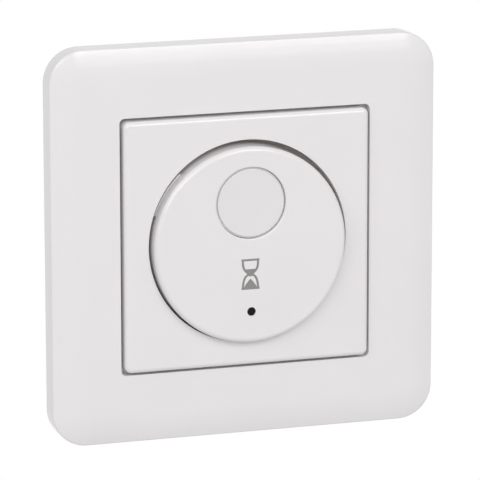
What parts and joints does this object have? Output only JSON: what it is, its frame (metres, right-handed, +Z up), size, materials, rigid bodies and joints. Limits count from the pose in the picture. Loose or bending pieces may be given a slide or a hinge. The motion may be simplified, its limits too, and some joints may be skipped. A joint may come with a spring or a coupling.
{
  "type": "timer light switch",
  "caption": "Flush wall timer switch: square glossy white frame and plate, raised round disc with a round push button, status window and a relay insert behind the wall plane.",
  "frame": {"origin": "centre of the box-screw pattern on the wall plane, at the back of the steel strap", "axes": "+Z up, -Y out of the wall towards the viewer, +X to the viewer's right"},
  "size_m": [0.085, 0.0339, 0.085],
  "materials": {
    "white": "glossy moulded thermoplastic, neutral white",
    "dark_plastic": "fine-textured moulded thermoplastic, near black",
    "smoked_lens": "smoked clear plastic, polished",
    "steel": "zinc-plated steel sheet and screws",
    "brass": "plain brass",
    "board": "glass-fibre board with green solder resist",
    "black_resin": "black moulding resin",
    "lamp": "clear tinted epoxy",
    "trimmer_blue": "blue moulded case",
    "trimmer_ivory": "ivory moulded rotor",
    "film_yellow": "yellow resin-filled case",
    "sleeve_blue": "shrunk sleeve over an aluminium can",
    "resistor_tan": "lacquered ceramic",
    "varistor_orange": "dipped epoxy"
  },
  "bodies": {
    "wall_unit": {"cover_frame": "white", "centre_plate": "white", "control_disc": "white", "insert_cover": "dark_plastic", "insert_housing": "dark_plastic", "rear_cover": "dark_plastic", "terminal_block": "dark_plastic", "light_guide": "smoked_lens", "mounting_strap": "steel", "cover_screws": "steel", "terminal_screws": "steel", "switch_cover": "steel", "snap_dome": "steel", "terminal_clamp_1": "brass", "terminal_clamp_2": "brass", "terminal_clamp_3": "brass", "terminal_clamp_4": "brass", "circuit_board": "board", "switch_base": "black_resin", "timer_chip": "black_resin", "bridge_rectifier": "black_resin", "relay": "black_resin", "status_led": "lamp", "trimmer_body": "trimmer_blue", "film_capacitor": "film_yellow", "smoothing_capacitor": "sleeve_blue", "fusible_resistor": "resistor_tan", "varistor": "varistor_orange"},
    "button": {"push_button": "white"},
    "plunger": {"switch_plunger": "black_resin"},
    "rotor": {"trimmer_rotor": "trimmer_ivory"}
  },
  "joints": [
    {"name": "button_press", "type": "slide", "parent": "wall_unit", "child": "button", "axis": [0, 1, 0], "range_m": [0, 0.0006], "stiffness_N_per_m": 2000, "springref_m": -0.0004, "deforming": ["snap_dome"]},
    {"name": "plunger_press", "type": "slide", "parent": "wall_unit", "child": "plunger", "axis": [0, 1, 0], "range_m": [0, 0.0006]},
    {"name": "time_trim", "type": "hinge", "parent": "wall_unit", "child": "rotor", "pos_m": [0.00806, 0, -0.00319], "axis": [0, -1, 0], "range_deg": [-135, 135]}
  ],
  "couplings": [
    {"joint": "plunger_press", "follows": "button_press", "ratio": 1}
  ]
}
